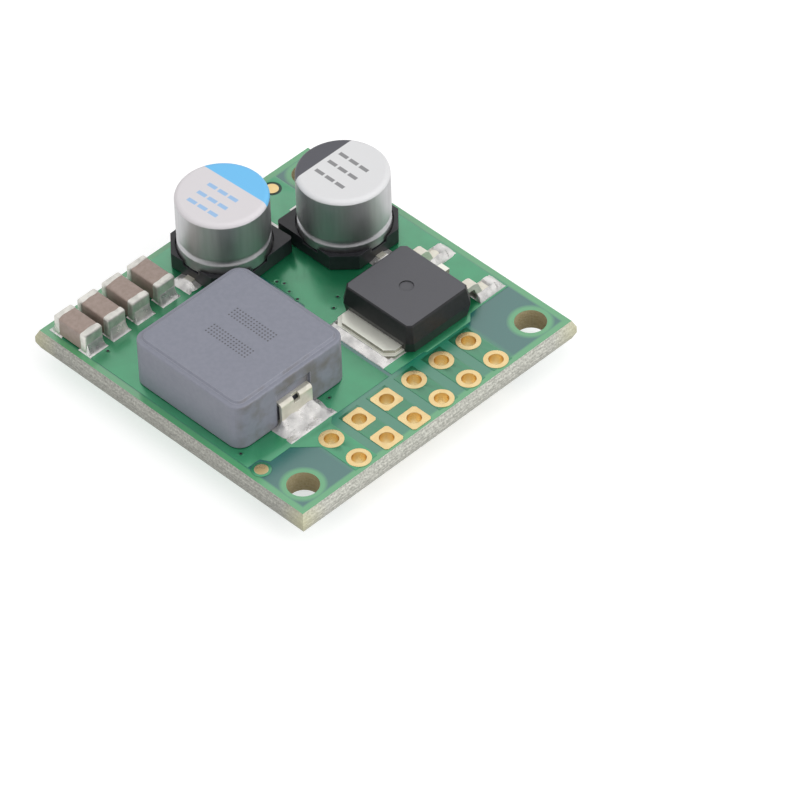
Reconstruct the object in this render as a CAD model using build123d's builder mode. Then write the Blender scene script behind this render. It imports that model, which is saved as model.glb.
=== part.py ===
from build123d import *

import os
from dataclasses import dataclass
from math import cos, radians, sin

# Buck converter module: a one inch square circuit board with its parts on both faces.
# Millimetres, +Z up. X runs along the two rows of pin holes, which lie at the front (-Y) edge.
# The origin is under the board's centre, level with the parts that the module stands on.

# Board
BOARD_WIDTH = 25.4
BOARD_DEPTH = 25.4
BOARD_THICKNESS = 1.6
SCORE_DEPTH = 0.55
SCORE_INSET = 0.24

# Plated pin holes: two rows at the front edge
PIN_PITCH = 2.54
PIN_COLUMNS = 6
PIN_EDGE = 1.27
PIN_BORE = 1.02
PLATING_WALL = 0.04
PLATING_PROUD = 0.05
ROUND_PAD = 1.7
SQUARE_PAD = 1.68
SQUARE_PAD_CLIP = 0.16
SQUARE_PAD_COLUMNS = (1, 2)

# Mounting holes in three corners, and the two bare aiming marks
MOUNT_HOLE = 2.2
MOUNT_EDGE = 2.16
MARK_DIAMETER = 0.95
MARK_PROUD = 0.04
MARK_FRONT_LEFT = (-11.46, -7.61)
MARK_REAR_RIGHT = (7.85, 11.25)

# Solder: a film on each land, and a wedge that narrows to the land's end
SOLDER_FILM = 0.05
SOLDER_TOE = 0.06
SOLDER_HOLLOW = 0.35


@dataclass(frozen=True)
class Chip:
    """A chip part: a core with a metal cap over each end."""

    length: float
    width: float
    height: float
    band: float
    cap_wall: float
    rounding: float
    land_under: float
    land_reach: float
    land_width: float
    wick: float


LARGE_CHIP = Chip(
    length=3.1,
    width=1.6,
    height=1.58,
    band=0.5,
    cap_wall=0.03,
    rounding=0.16,
    land_under=0.75,
    land_reach=0.46,
    land_width=1.68,
    wick=0.75,
)
SMALL_CHIP = Chip(
    length=1.6,
    width=0.8,
    height=0.6,
    band=0.3,
    cap_wall=0.02,
    rounding=0.06,
    land_under=0.4,
    land_reach=0.28,
    land_width=0.86,
    wick=0.3,
)

# Ceramic capacitors on the top face, side by side at the rear left
REAR_CERAMIC_X = (-11.15, -9.05, -6.85, -4.55)
REAR_CERAMIC_Y = 10.02

# Ceramic capacitors on the underside: the module stands on them
UNDER_CERAMICS = ((-8.6, 7.2), (-8.6, -5.6), (8.6, 6.4), (8.6, -5.2))

# Moulded inductor
INDUCTOR_X = -6.43
INDUCTOR_Y = -0.5
CASE_WIDTH = 9.95
CASE_LENGTH = 10.1
CASE_HEIGHT = 3.95
CASE_CORNER = 1.0
CASE_LIFT = 0.1
CASE_EDGE = 0.12
LID_INSET = 0.34
LID_RISE = 0.2
LID_SLOPE = 0.12
TERMINAL_WIDTH = 2.8
TERMINAL_THICKNESS = 0.22
TERMINAL_BEND = 0.2
TERMINAL_STAND_OFF = 0.3
TERMINAL_EXIT = 1.89
TERMINAL_ROOT = 1.2
TERMINAL_FOOT = 1.6
TERMINAL_NOTCH_WIDTH = 0.55
TERMINAL_NOTCH_DEPTH = 0.42
POCKET_WIDTH = 3.05
POCKET_HEIGHT = 2.85
POCKET_DEPTH = 0.22
TERMINAL_LAND_WIDTH = 4.2
TERMINAL_LAND_REACH = 1.55
TERMINAL_WICK = 0.9

# Can capacitors: the leads run along each one's own X, and its +X side is the marked one
@dataclass(frozen=True)
class Can:
    """A can capacitor's place on the board, its top, and the rim under its rolled groove."""

    x: float
    y: float
    turn: float
    top: float
    rim: float


LEFT_CAN = Can(x=1.1, y=8.8, turn=2.5, top=5.6, rim=1.0)
RIGHT_CAN = Can(x=8.1, y=4.45, turn=90.0, top=5.8, rim=0.8)
CAN_DIAMETER = 6.4
CAN_EDGE = 0.34
CAN_CURL = 0.16
CAN_GROOVE = 0.2
CAN_GROOVE_WIDTH = 0.5
CAN_GROOVE_EDGE = 0.09
BASE_SIDE = 6.5
BASE_CLIP = 1.4
BASE_CORNER = 0.3
BASE_LIFT = 0.1
BASE_FLOOR = 0.9
BASE_POST_TOP = 1.3
BASE_POST_GAP = 0.12
CAN_LEAD_WIDTH = 0.65
CAN_LEAD_THICKNESS = 0.25
CAN_LEAD_BEND = 0.2
CAN_LEAD_SPACING = 2.0
CAN_LEAD_REACH = 0.4
CAN_LAND_WIDTH = 1.9
CAN_LAND_LENGTH = 3.0
CAN_LAND_OUTER = 4.45
CAN_WICK = 0.2

# Power transistor
TRANSISTOR_X = 5.64
TRANSISTOR_Y = -3.9
MOULD_LENGTH = 6.1
MOULD_WIDTH = 6.6
MOULD_TOP = 2.3
MOULD_PART_LINE = 0.95
MOULD_TOP_DRAFT = 0.24
MOULD_FOOT_DRAFT = 0.12
MOULD_CORNER = 0.4
MOULD_TOP_CORNER = 0.3
MOULD_FOOT_CORNER = 0.48
MOULD_EDGE = 0.08
DIMPLE_DIAMETER = 1.0
DIMPLE_DEPTH = 0.08
TAB_FRONT = 4.36
TAB_REAR = 2.0
TAB_WIDTH = 5.4
TAB_CLIP = 0.55
TAB_THICKNESS = 0.5
TAB_LIP = 0.2
TAB_LIP_THICKNESS = 0.24
LEAD_PITCH = 2.286
LEAD_WIDTH = 0.76
LEAD_THICKNESS = 0.45
LEAD_BEND = 0.32
LEAD_LEVEL = 1.42
LEAD_ROOT = 2.2
LEAD_SHOULDER = 3.79
LEAD_ANKLE = 4.29
LEAD_TOE = 5.59
STUB_REACH = 3.64
TAB_LAND_FRONT = 5.04
TAB_LAND_REAR = 2.4
TAB_LAND_WIDTH = 5.6
TAB_WICK = 0.18
LEAD_LAND_INNER = 3.81
LEAD_LAND_OUTER = 6.26
LEAD_LAND_WIDTH = 1.6
LEAD_WICK = 0.35

# Controller and the two power switches on the underside
CONTROLLER_X = 3.3
CONTROLLER_Y = -4.0
CONTROLLER_SIDE = 4.0
CONTROLLER_HEIGHT = 0.9
CONTROLLER_DRAFT = 0.04
CONTROLLER_PADS = 5
CONTROLLER_PITCH = 0.65
CONTROLLER_PAD_WIDTH = 0.3
CONTROLLER_PAD_LENGTH = 0.5
CONTROLLER_PLATE = 2.4
FRAME_THICKNESS = 0.2
SWITCH_X = 3.3
SWITCH_Y = 3.6
SWITCH_LENGTH = 6.0
SWITCH_WIDTH = 5.0
SWITCH_HEIGHT = 1.05
SWITCH_DRAFT = 0.15
SWITCH_FEET = 4
SWITCH_PITCH = 1.27
SWITCH_FOOT_WIDTH = 0.5
SWITCH_FOOT_LENGTH = 0.8
SWITCH_FOOT_PROUD = 0.12
SWITCH_PLATE_LENGTH = 3.6
SWITCH_PLATE_WIDTH = 4.0

# Small resistors and capacitors beside the controller
RESISTOR_X = -1.2
RESISTOR_Y = (-1.9, -3.3, -4.7, -6.1)
SMALL_CAPACITOR_X = -3.9
SMALL_CAPACITOR_Y = (-1.9, -3.3, -4.7)

# Levels and sizes that follow from those above
BOARD_UNDER = SOLDER_FILM + LARGE_CHIP.height
BOARD_TOP = BOARD_UNDER + BOARD_THICKNESS
PIN_DRILL = PIN_BORE + 2 * PLATING_WALL
CAN_RADIUS = CAN_DIAMETER / 2
TERMINAL_FACE = CASE_LENGTH / 2 + TERMINAL_STAND_OFF


@dataclass(frozen=True)
class Joint:
    """A solder joint along X: the land, the metal's outer face, and the width of each."""

    inner: float
    face: float
    outer: float
    wick: float
    metal_width: float
    land_width: float
    metal_depth: float


# Each part is modelled once in a frame of its own: X along it, Z up from the board, the land at 0.
# The XZ plane is its side and the YZ plane its section. Its seats then place it on the board.
def top_seat(x: float, y: float, turn: float = 0.0) -> Plane:
    """The place of a part on the top face, turned by some degrees."""
    along = (cos(radians(turn)), sin(radians(turn)), 0)
    return Plane(origin=(x, y, BOARD_TOP), x_dir=along, z_dir=(0, 0, 1))


def under_seat(x: float, y: float, turn: float = 0.0) -> Plane:
    """The place of a part on the underside, with its Z pointing down."""
    along = (cos(radians(turn)), sin(radians(turn)), 0)
    return Plane(origin=(x, y, BOARD_UNDER), x_dir=along, z_dir=(0, 0, -1))


def place(part: Part, *seats: Plane) -> Part:
    """A copy of a part at each seat, every copy still a solid of its own."""
    with BuildPart() as copies:
        with Locations(*seats):
            add(part)
    return copies.part


def gather(parts: list) -> Part:
    """Several pieces that share one node."""
    with BuildPart() as group:
        for part in parts:
            add(part)
    return group.part


# Circuit board
def pin_places(columns: tuple) -> list:
    """The centres of the pin holes in the given columns of both rows."""
    front = -BOARD_DEPTH / 2 + PIN_EDGE
    left = -(PIN_COLUMNS - 1) * PIN_PITCH / 2
    return [(left + column * PIN_PITCH, front + row * PIN_PITCH) for row in (0, 1) for column in columns]


def mount_places() -> list:
    """The three mounting holes: both front corners and the rear right one."""
    across = BOARD_WIDTH / 2 - MOUNT_EDGE
    along = BOARD_DEPTH / 2 - MOUNT_EDGE
    return [(-across, -along), (across, -along), (across, along)]


def make_board() -> Part:
    """The laminate, with the scored and snapped edge that narrows to both faces."""
    levels = (
        (BOARD_UNDER, SCORE_INSET),
        (BOARD_UNDER + SCORE_DEPTH, 0),
        (BOARD_TOP - SCORE_DEPTH, 0),
        (BOARD_TOP, SCORE_INSET),
    )
    with BuildPart() as board:
        for lower, upper in zip(levels, levels[1:]):
            for height, inset in (lower, upper):
                with BuildSketch(Plane.XY.offset(height)):
                    Rectangle(BOARD_WIDTH - 2 * inset, BOARD_DEPTH - 2 * inset)
            loft(ruled=True)
        with Locations(*mount_places()):
            Hole(MOUNT_HOLE / 2)
        with Locations(*pin_places(tuple(range(PIN_COLUMNS)))):
            Hole(PIN_DRILL / 2)
    return board.part


def make_plating(square: bool) -> Part:
    """One plated hole: a barrel through the board with a pad on each face."""
    with BuildPart() as plating:
        for face, proud in ((BOARD_TOP, PLATING_PROUD), (BOARD_UNDER, -PLATING_PROUD)):
            with BuildSketch(Plane.XY.offset(face)) as pad:
                if square:
                    Rectangle(SQUARE_PAD, SQUARE_PAD)
                    chamfer(pad.vertices(), SQUARE_PAD_CLIP)
                else:
                    Circle(ROUND_PAD / 2)
                Circle(PIN_BORE / 2, mode=Mode.SUBTRACT)
            extrude(amount=proud)
        with BuildSketch(Plane.XY.offset(BOARD_UNDER)):
            Circle(PIN_DRILL / 2)
            Circle(PIN_BORE / 2, mode=Mode.SUBTRACT)
        extrude(amount=BOARD_THICKNESS)
    return plating.part


def make_marks() -> Part:
    """The two bare gold discs that the placing machine aims by."""
    with BuildPart() as marks:
        with BuildSketch(Plane.XY.offset(BOARD_TOP)):
            with Locations(MARK_FRONT_LEFT, MARK_REAR_RIGHT):
                Circle(MARK_DIAMETER / 2)
        extrude(amount=MARK_PROUD)
    return marks.part


# Solder and bent strip
def make_joint(joint: Joint, metals: list) -> Part:
    """A film on the land and a hollow wedge against the metal, cut to fit the metal exactly."""
    toe = joint.outer - SOLDER_TOE
    full = SOLDER_FILM + joint.wick
    spread = joint.land_width - joint.metal_width
    stations = (
        (joint.face - joint.metal_depth, joint.metal_width, full),
        (joint.face, joint.metal_width, full),
        (
            joint.face + SOLDER_HOLLOW * (toe - joint.face),
            joint.metal_width + SOLDER_HOLLOW * spread,
            SOLDER_FILM + SOLDER_HOLLOW * joint.wick,
        ),
        (toe, joint.land_width, SOLDER_FILM),
    )
    with BuildPart() as solder:
        with BuildSketch():
            with Locations(((joint.inner + joint.outer) / 2, 0)):
                Rectangle(joint.outer - joint.inner, joint.land_width)
        extrude(amount=SOLDER_FILM)
        for distance, width, height in stations:
            with BuildSketch(Plane.YZ.offset(distance)):
                with Locations((0, height / 2)):
                    Rectangle(width, height)
        loft(ruled=True)
        for metal in metals:
            add(metal, mode=Mode.SUBTRACT)
    return solder.part


def make_joint_pair(joint: Joint, metals: list) -> Part:
    """A joint at each end of a part that is the same at both ends."""
    single = make_joint(joint, metals)
    with BuildPart() as pair:
        with PolarLocations(0, 2):
            add(single)
    return pair.part


def make_strip(points: list, bend: float, thickness: float, width: float) -> Part:
    """A flat strip bent along a centre line that is drawn in the side plane."""
    with BuildPart() as strip:
        with BuildSketch(Plane.XZ):
            with BuildLine():
                FilletPolyline(*points, radius=bend)
            trace(line_width=thickness)
        extrude(amount=width / 2, both=True)
    return strip.part


# Chip parts
def make_chip_block(chip: Chip, wall: float) -> Part:
    """A chip's rounded block, drawn in by a wall on every side."""
    with BuildPart() as block:
        with BuildSketch(Plane.YZ):
            with Locations((0, SOLDER_FILM + chip.height / 2)):
                Rectangle(chip.width - 2 * wall, chip.height - 2 * wall)
        extrude(amount=chip.length / 2 - wall, both=True)
        fillet(block.edges(), chip.rounding - wall)
    return block.part


def make_chip_caps(chip: Chip, core: Part) -> Part:
    """The two metal end caps, each a cup drawn over the core's end."""
    block = make_chip_block(chip, 0)
    with BuildPart() as caps:
        add(block)
        with BuildSketch(Plane.YZ):
            with Locations((0, SOLDER_FILM + chip.height / 2)):
                Rectangle(chip.width, chip.height)
        extrude(amount=chip.length / 2 - chip.band, both=True, mode=Mode.SUBTRACT)
        add(core, mode=Mode.SUBTRACT)
    return caps.part


def make_chip(chip: Chip) -> tuple:
    """A chip part as its core, its end caps and its solder."""
    core = make_chip_block(chip, chip.cap_wall)
    caps = make_chip_caps(chip, core)
    face = chip.length / 2
    joint = Joint(
        inner=face - chip.land_under,
        face=face,
        outer=face + chip.land_reach,
        wick=chip.wick,
        metal_width=chip.width - 2 * chip.rounding,
        land_width=chip.land_width,
        metal_depth=chip.rounding,
    )
    return core, caps, make_joint_pair(joint, [core, caps])


# Moulded inductor
def make_terminal() -> Part:
    """A terminal strip: out of the case, down its face and under it, notched at the bend."""
    wall = TERMINAL_FACE - TERMINAL_THICKNESS / 2
    sole = SOLDER_FILM + TERMINAL_THICKNESS / 2
    root = CASE_LENGTH / 2 - TERMINAL_ROOT
    points = [(root, TERMINAL_EXIT), (wall, TERMINAL_EXIT), (wall, sole), (wall - TERMINAL_FOOT, sole)]
    strip = make_strip(points, TERMINAL_BEND, TERMINAL_THICKNESS, TERMINAL_WIDTH)
    with BuildPart() as terminal:
        add(strip)
        with BuildSketch(Plane.XY.offset(TERMINAL_EXIT - TERMINAL_NOTCH_DEPTH)):
            with Locations((wall, 0)):
                Rectangle(TERMINAL_NOTCH_DEPTH, TERMINAL_NOTCH_WIDTH)
        extrude(amount=2 * TERMINAL_NOTCH_DEPTH, mode=Mode.SUBTRACT)
    return terminal.part


def make_case(terminal: Part) -> Part:
    """The pressed powder case, with its raised lid and a pocket behind each terminal."""
    shoulder = CASE_HEIGHT - LID_RISE
    lid_width = CASE_WIDTH - 2 * LID_INSET
    lid_length = CASE_LENGTH - 2 * LID_INSET
    lid_corner = CASE_CORNER - LID_INSET
    foot_reach = TERMINAL_FOOT + TERMINAL_THICKNESS - TERMINAL_STAND_OFF
    pockets = ((POCKET_DEPTH, POCKET_HEIGHT), (foot_reach, SOLDER_FILM + TERMINAL_THICKNESS))
    with BuildPart() as case:
        with BuildSketch(Plane.XY.offset(CASE_LIFT)):
            RectangleRounded(CASE_LENGTH, CASE_WIDTH, CASE_CORNER)
        extrude(amount=shoulder - CASE_LIFT)
        fillet(case.faces().sort_by(Axis.Z)[-1].edges(), CASE_EDGE)
        for rise, slope in ((shoulder, 0), (CASE_HEIGHT, LID_SLOPE)):
            with BuildSketch(Plane.XY.offset(rise)):
                RectangleRounded(lid_length - 2 * slope, lid_width - 2 * slope, lid_corner - slope)
        loft(ruled=True)
        for depth, top in pockets:
            with BuildSketch(Plane.XY.offset(CASE_LIFT)):
                with Locations((-CASE_LENGTH / 2, 0), (CASE_LENGTH / 2, 0)):
                    Rectangle(2 * depth, POCKET_WIDTH)
            extrude(amount=top - CASE_LIFT, mode=Mode.SUBTRACT)
        with PolarLocations(0, 2):
            add(terminal, mode=Mode.SUBTRACT)
    return case.part


# Can capacitors
def make_can(top: float, rim: float) -> Part:
    """The sealed aluminium can: rounded top edge, rolled groove and curled rim."""
    groove_low = BASE_FLOOR + rim
    groove_high = groove_low + CAN_GROOVE_WIDTH
    groove_floor = (CAN_RADIUS - CAN_GROOVE, (groove_low + groove_high) / 2)
    with BuildPart() as can:
        with BuildSketch(Plane.XZ) as profile:
            with BuildLine():
                Polyline((0, top), (0, BASE_FLOOR), (CAN_RADIUS, BASE_FLOOR), (CAN_RADIUS, groove_low))
                ThreePointArc((CAN_RADIUS, groove_low), groove_floor, (CAN_RADIUS, groove_high))
                Polyline((CAN_RADIUS, groove_high), (CAN_RADIUS, top), (0, top))
            make_face()
            fillet(profile.vertices().group_by(Axis.X)[-1].sort_by(Axis.Y)[1:3], CAN_GROOVE_EDGE)
            fillet(profile.vertices().group_by(Axis.X)[-1].sort_by(Axis.Y)[0], CAN_CURL)
            fillet(profile.vertices().group_by(Axis.X)[-1].sort_by(Axis.Y)[-1], CAN_EDGE)
        revolve(axis=Axis.Z)
    return can.part


def make_can_lead() -> Part:
    """A lead: down from the can through its base, then flat along the board past the base."""
    centre = SOLDER_FILM + CAN_LEAD_THICKNESS / 2
    root = CAN_LEAD_SPACING / 2
    points = [(root, BASE_FLOOR), (root, centre), (BASE_SIDE / 2 + CAN_LEAD_REACH, centre)]
    return make_strip(points, CAN_LEAD_BEND, CAN_LEAD_THICKNESS, CAN_LEAD_WIDTH)


def make_can_base(lead: Part) -> Part:
    """The moulded base: two clipped corners, and corner posts that hold the can's rim."""
    with BuildPart() as base:
        with BuildSketch(Plane.XY.offset(BASE_LIFT)) as outline:
            Rectangle(BASE_SIDE, BASE_SIDE)
            chamfer(outline.vertices().group_by(Axis.X)[0], BASE_CLIP)
            fillet(outline.vertices().group_by(Axis.X)[-1], BASE_CORNER)
        extrude(amount=BASE_POST_TOP - BASE_LIFT)
        with BuildSketch(Plane.XY.offset(BASE_FLOOR)):
            Circle(CAN_RADIUS + BASE_POST_GAP)
        extrude(amount=BASE_POST_TOP - BASE_FLOOR, mode=Mode.SUBTRACT)
        with PolarLocations(0, 2):
            add(lead, mode=Mode.SUBTRACT)
    return base.part


# Power transistor
def make_tab() -> Part:
    """The metal tab: a stepped front edge, and the cut middle lead that rises from its rear."""
    rise = TAB_REAR - LEAD_THICKNESS
    points = [(rise, SOLDER_FILM + TAB_THICKNESS / 2), (rise, LEAD_LEVEL), (STUB_REACH, LEAD_LEVEL)]
    stub = make_strip(points, LEAD_BEND, LEAD_THICKNESS, LEAD_WIDTH)
    with BuildPart() as tab:
        for step, thickness in ((0, TAB_LIP_THICKNESS), (TAB_LIP, TAB_THICKNESS)):
            front = step - TAB_FRONT
            with BuildSketch(Plane.XY.offset(SOLDER_FILM)) as outline:
                with Locations(((TAB_REAR + front) / 2, 0)):
                    Rectangle(TAB_REAR - front, TAB_WIDTH - 2 * step)
                chamfer(outline.vertices().group_by(Axis.X)[0], TAB_CLIP)
            extrude(amount=thickness)
        add(stub)
    return tab.part


def make_transistor_lead() -> Part:
    """An outer lead: out of the body, down and flat onto its land."""
    sole = SOLDER_FILM + LEAD_THICKNESS / 2
    points = [(LEAD_ROOT, LEAD_LEVEL), (LEAD_SHOULDER, LEAD_LEVEL), (LEAD_ANKLE, sole), (LEAD_TOE, sole)]
    return make_strip(points, LEAD_BEND, LEAD_THICKNESS, LEAD_WIDTH)


def make_mould(tab: Part, lead: Part) -> Part:
    """The moulded body: drafted above and below its parting line, with a dimple on top."""
    levels = (
        (SOLDER_FILM, MOULD_FOOT_DRAFT, MOULD_FOOT_CORNER),
        (MOULD_PART_LINE, 0, MOULD_CORNER),
        (MOULD_TOP, MOULD_TOP_DRAFT, MOULD_TOP_CORNER),
    )
    with BuildPart() as mould:
        for lower, upper in zip(levels, levels[1:]):
            for height, draft, corner in (lower, upper):
                with BuildSketch(Plane.XY.offset(height)) as outline:
                    Rectangle(MOULD_LENGTH - 2 * draft, MOULD_WIDTH - 2 * draft)
                    chamfer(outline.vertices(), corner)
            loft(ruled=True)
        chamfer(mould.faces().sort_by(Axis.Z)[-1].edges(), MOULD_EDGE)
        with BuildSketch(Plane.XY.offset(MOULD_TOP)):
            Circle(DIMPLE_DIAMETER / 2)
        extrude(amount=-DIMPLE_DEPTH, mode=Mode.SUBTRACT)
        add(tab, mode=Mode.SUBTRACT)
        with Locations((0, LEAD_PITCH), (0, -LEAD_PITCH)):
            add(lead, mode=Mode.SUBTRACT)
    return mould.part


def make_tab_solder(tab: Part) -> Part:
    """The solder under the tab and along its front edge."""
    joint = Joint(
        inner=-TAB_LAND_REAR,
        face=TAB_FRONT,
        outer=TAB_LAND_FRONT,
        wick=TAB_WICK,
        metal_width=TAB_WIDTH - 2 * TAB_CLIP,
        land_width=TAB_LAND_WIDTH,
        metal_depth=TAB_LIP / 2,
    )
    turned = Plane(origin=(0, 0, 0), x_dir=(-1, 0, 0), z_dir=(0, 0, 1))
    return place(make_joint(joint, [place(tab, turned)]), turned)


# Controller and power switches
def controller_footprint() -> Sketch:
    """The contacts along the controller's four sides, and the plate under its middle."""
    edge = (CONTROLLER_SIDE - CONTROLLER_PAD_LENGTH) / 2
    with BuildSketch() as footprint:
        for side in (-edge, edge):
            with Locations((side, 0)):
                with GridLocations(0, CONTROLLER_PITCH, 1, CONTROLLER_PADS):
                    Rectangle(CONTROLLER_PAD_LENGTH, CONTROLLER_PAD_WIDTH)
            with Locations((0, side)):
                with GridLocations(CONTROLLER_PITCH, 0, CONTROLLER_PADS, 1):
                    Rectangle(CONTROLLER_PAD_WIDTH, CONTROLLER_PAD_LENGTH)
        Rectangle(CONTROLLER_PLATE, CONTROLLER_PLATE)
    return footprint.sketch


def switch_footprint() -> Sketch:
    """A power switch's contacts: four feet along one side and a plate under the other."""
    foot = (SWITCH_FOOT_LENGTH - SWITCH_LENGTH) / 2 - SWITCH_FOOT_PROUD
    plate = (SWITCH_LENGTH - SWITCH_PLATE_LENGTH) / 2 + SWITCH_FOOT_PROUD
    with BuildSketch() as footprint:
        with Locations((foot, 0)):
            with GridLocations(0, SWITCH_PITCH, 1, SWITCH_FEET):
                Rectangle(SWITCH_FOOT_LENGTH, SWITCH_FOOT_WIDTH)
        with Locations((plate, 0)):
            Rectangle(SWITCH_PLATE_LENGTH, SWITCH_PLATE_WIDTH)
    return footprint.sketch


def make_flat_chip(footprint: Sketch, length: float, width: float, height: float, draft: float) -> tuple:
    """A flat moulded chip as its body, its contacts and the solder film under them."""
    with BuildPart() as film:
        extrude(footprint, amount=SOLDER_FILM)
    with BuildPart() as contacts:
        with Locations((0, 0, SOLDER_FILM)):
            add(extrude(footprint, amount=FRAME_THICKNESS, mode=Mode.PRIVATE))
    with BuildPart() as body:
        for level, inset in ((SOLDER_FILM, 0), (SOLDER_FILM + height, draft)):
            with BuildSketch(Plane.XY.offset(level)):
                Rectangle(length - 2 * inset, width - 2 * inset)
        loft(ruled=True)
        add(contacts.part, mode=Mode.SUBTRACT)
    return body.part, contacts.part, film.part


# Groups of nodes
def board_nodes() -> dict:
    """The board, its plated holes and its aiming marks."""
    round_columns = tuple(c for c in range(PIN_COLUMNS) if c not in SQUARE_PAD_COLUMNS)
    round_seats = [Plane(origin=(x, y, 0)) for x, y in pin_places(round_columns)]
    square_seats = [Plane(origin=(x, y, 0)) for x, y in pin_places(SQUARE_PAD_COLUMNS)]
    return {
        "circuit_board": make_board(),
        "round_pin_platings": place(make_plating(square=False), *round_seats),
        "square_pin_platings": place(make_plating(square=True), *square_seats),
        "aiming_marks": make_marks(),
    }


def inductor_nodes() -> dict:
    """The inductor's case, its front and rear terminals and their solder."""
    front, rear = [top_seat(INDUCTOR_X, INDUCTOR_Y, turn) for turn in (-90, 90)]
    terminal = make_terminal()
    joint = Joint(
        inner=TERMINAL_FACE - TERMINAL_FOOT,
        face=TERMINAL_FACE,
        outer=TERMINAL_FACE + TERMINAL_LAND_REACH,
        wick=TERMINAL_WICK,
        metal_width=TERMINAL_WIDTH,
        land_width=TERMINAL_LAND_WIDTH,
        metal_depth=TERMINAL_THICKNESS / 2,
    )
    return {
        "inductor_case": place(make_case(terminal), front),
        "inductor_front_terminal": place(terminal, front),
        "inductor_rear_terminal": place(terminal, rear),
        "inductor_solder": place(make_joint_pair(joint, [terminal]), front),
    }


def can_nodes(cans: dict) -> dict:
    """The can capacitors: the clipped side of each base is the positive one."""
    lead = make_can_lead()
    base = make_can_base(lead)
    joint = Joint(
        inner=CAN_LAND_OUTER - CAN_LAND_LENGTH,
        face=BASE_SIDE / 2 + CAN_LEAD_REACH,
        outer=CAN_LAND_OUTER,
        wick=CAN_WICK,
        metal_width=CAN_LEAD_WIDTH,
        land_width=CAN_LAND_WIDTH,
        metal_depth=CAN_LEAD_THICKNESS / 2,
    )
    solder = make_joint_pair(joint, [lead])
    nodes = {}
    for name, can in cans.items():
        seat = top_seat(can.x, can.y, can.turn)
        nodes[name] = place(make_can(can.top, can.rim), seat)
        nodes[name + "_base"] = place(base, seat)
        nodes[name + "_positive_lead"] = place(lead, top_seat(can.x, can.y, can.turn + 180))
        nodes[name + "_negative_lead"] = place(lead, seat)
        nodes[name + "_solder"] = place(solder, seat)
    return nodes


def transistor_nodes() -> dict:
    """The power transistor: body, tab, two outer leads and their solder."""
    seat = top_seat(TRANSISTOR_X, TRANSISTOR_Y)
    rear, front = [top_seat(TRANSISTOR_X, TRANSISTOR_Y + side * LEAD_PITCH) for side in (1, -1)]
    tab = make_tab()
    lead = make_transistor_lead()
    joint = Joint(
        inner=LEAD_LAND_INNER,
        face=LEAD_TOE,
        outer=LEAD_LAND_OUTER,
        wick=LEAD_WICK,
        metal_width=LEAD_WIDTH,
        land_width=LEAD_LAND_WIDTH,
        metal_depth=LEAD_THICKNESS / 2,
    )
    return {
        "transistor_body": place(make_mould(tab, lead), seat),
        "transistor_tab": place(tab, seat),
        "transistor_rear_lead": place(lead, rear),
        "transistor_front_lead": place(lead, front),
        "transistor_solder": gather(
            [place(make_tab_solder(tab), seat), place(make_joint(joint, [lead]), rear, front)]
        ),
    }


def ceramic_nodes() -> dict:
    """The large ceramic capacitors on both faces, each a core and its end caps."""
    core, caps, solder = make_chip(LARGE_CHIP)
    sets = {
        "rear_ceramic": [top_seat(x, REAR_CERAMIC_Y, 90) for x in REAR_CERAMIC_X],
        "under_ceramic": [under_seat(x, y) for x, y in UNDER_CERAMICS],
    }
    nodes = {}
    for name, seats in sets.items():
        for number, seat in enumerate(seats, 1):
            nodes[f"{name}_{number}"] = place(core, seat)
            nodes[f"{name}_{number}_end_caps"] = place(caps, seat)
        nodes[name + "_solder"] = place(solder, *seats)
    return nodes


def small_part_nodes() -> dict:
    """The small resistors and capacitors, grouped by kind, with their solder."""
    core, caps, solder = make_chip(SMALL_CHIP)
    groups = {
        "resistor": [under_seat(RESISTOR_X, y) for y in RESISTOR_Y],
        "small_capacitor": [under_seat(SMALL_CAPACITOR_X, y) for y in SMALL_CAPACITOR_Y],
    }
    nodes = {}
    for name, seats in groups.items():
        nodes[name + "_bodies"] = place(core, *seats)
        nodes[name + "_end_caps"] = place(caps, *seats)
    nodes["small_part_solder"] = place(solder, *groups["resistor"], *groups["small_capacitor"])
    return nodes


def under_chip_nodes() -> dict:
    """The controller and the two power switches, with the solder film under them."""
    controller = make_flat_chip(
        controller_footprint(), CONTROLLER_SIDE, CONTROLLER_SIDE, CONTROLLER_HEIGHT, CONTROLLER_DRAFT
    )
    switch = make_flat_chip(switch_footprint(), SWITCH_LENGTH, SWITCH_WIDTH, SWITCH_HEIGHT, SWITCH_DRAFT)
    chips = {
        "controller": (controller, under_seat(CONTROLLER_X, CONTROLLER_Y)),
        "left_switch": (switch, under_seat(-SWITCH_X, SWITCH_Y, 90)),
        "right_switch": (switch, under_seat(SWITCH_X, SWITCH_Y, 90)),
    }
    nodes = {}
    films = []
    for name, ((body, contacts, film), seat) in chips.items():
        nodes[name + "_body"] = place(body, seat)
        nodes[name + "_contacts"] = place(contacts, seat)
        films.append(place(film, seat))
    nodes["under_chip_solder"] = gather(films)
    return nodes


def main() -> None:
    """Build every piece and write it under its own name."""
    cans = {"left_can": LEFT_CAN, "right_can": RIGHT_CAN}
    nodes = board_nodes() | inductor_nodes() | can_nodes(cans) | transistor_nodes()
    nodes |= ceramic_nodes() | under_chip_nodes() | small_part_nodes()
    os.makedirs("parts", exist_ok=True)
    for name, part in nodes.items():
        part.label = name
        export_step(part, f"parts/{name}.step")


main()
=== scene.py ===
"""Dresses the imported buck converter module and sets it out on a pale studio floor."""

import logging
import math
from collections.abc import Iterable, Sequence
from dataclasses import dataclass
from enum import Enum

import bmesh
import bpy
from mathutils import Matrix, Vector, noise


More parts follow.
